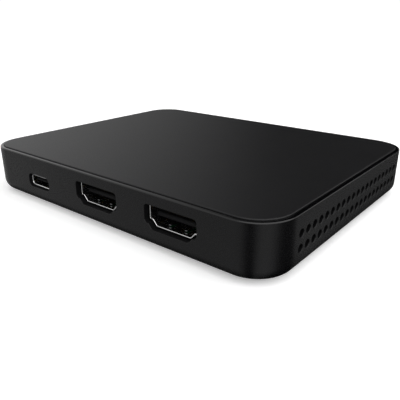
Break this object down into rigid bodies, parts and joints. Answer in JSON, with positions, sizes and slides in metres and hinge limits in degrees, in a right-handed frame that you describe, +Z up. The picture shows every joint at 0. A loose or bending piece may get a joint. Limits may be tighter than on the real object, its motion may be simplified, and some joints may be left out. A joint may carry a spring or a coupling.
{
  "type": "video capture box",
  "caption": "Flat rounded black plastic box with a data socket and two video sockets on one long side, vent holes in its short sides and a seated cover plate.",
  "frame": {"origin": "on the table, under the middle of the case's outline", "axes": "+X along the port side, to the right when the ports are faced; +Y from the port side to the far side; +Z up through the cover"},
  "size_m": [0.102, 0.0808, 0.0147],
  "materials": {
    "case_plastic": "fine matt texture, polished on the ledge",
    "cover_plastic": "fine matt texture",
    "foot_rubber": "matt",
    "black_screw_steel": "blackened",
    "screw_steel": "zinc plated",
    "board_laminate": "solder mask",
    "socket_steel": "bright plated",
    "socket_plastic": "moulded",
    "contact_gold": "gold flash",
    "chip_resin": "moulded",
    "thermal_silicone": "soft",
    "sink_aluminium": "extruded",
    "spacer_brass": "turned",
    "can_metal": "drawn",
    "ferrite": "pressed",
    "capacitor_ceramic": "fired",
    "led_resin": "clear",
    "pipe_acrylic": "frosted end"
  },
  "bodies": {
    "root": {"base_shell": "case_plastic", "top_cover": "cover_plastic", "foot_port_left": "foot_rubber", "foot_port_right": "foot_rubber", "foot_far_left": "foot_rubber", "foot_far_right": "foot_rubber", "cover_screws": "black_screw_steel", "board_screws": "screw_steel", "main_board": "board_laminate", "video_in_shell": "socket_steel", "video_in_insulator": "socket_plastic", "video_in_contacts": "contact_gold", "video_out_shell": "socket_steel", "video_out_insulator": "socket_plastic", "video_out_contacts": "contact_gold", "data_shell": "socket_steel", "data_insulator": "socket_plastic", "data_contacts": "contact_gold", "video_processor": "chip_resin", "thermal_pad": "thermal_silicone", "heat_sink": "sink_aluminium", "heat_sink_spacers": "spacer_brass", "heat_sink_screws": "screw_steel", "video_receiver": "chip_resin", "video_driver": "chip_resin", "data_bridge": "chip_resin", "memory_chip_left": "chip_resin", "memory_chip_right": "chip_resin", "flash_chip": "chip_resin", "crystals": "can_metal", "power_inductors": "ferrite", "regulators": "chip_resin", "bulk_capacitors": "can_metal", "chip_capacitors": "capacitor_ceramic", "surge_arrays": "chip_resin", "status_led": "led_resin", "light_pipe": "pipe_acrylic"}
  },
  "joints": []
}
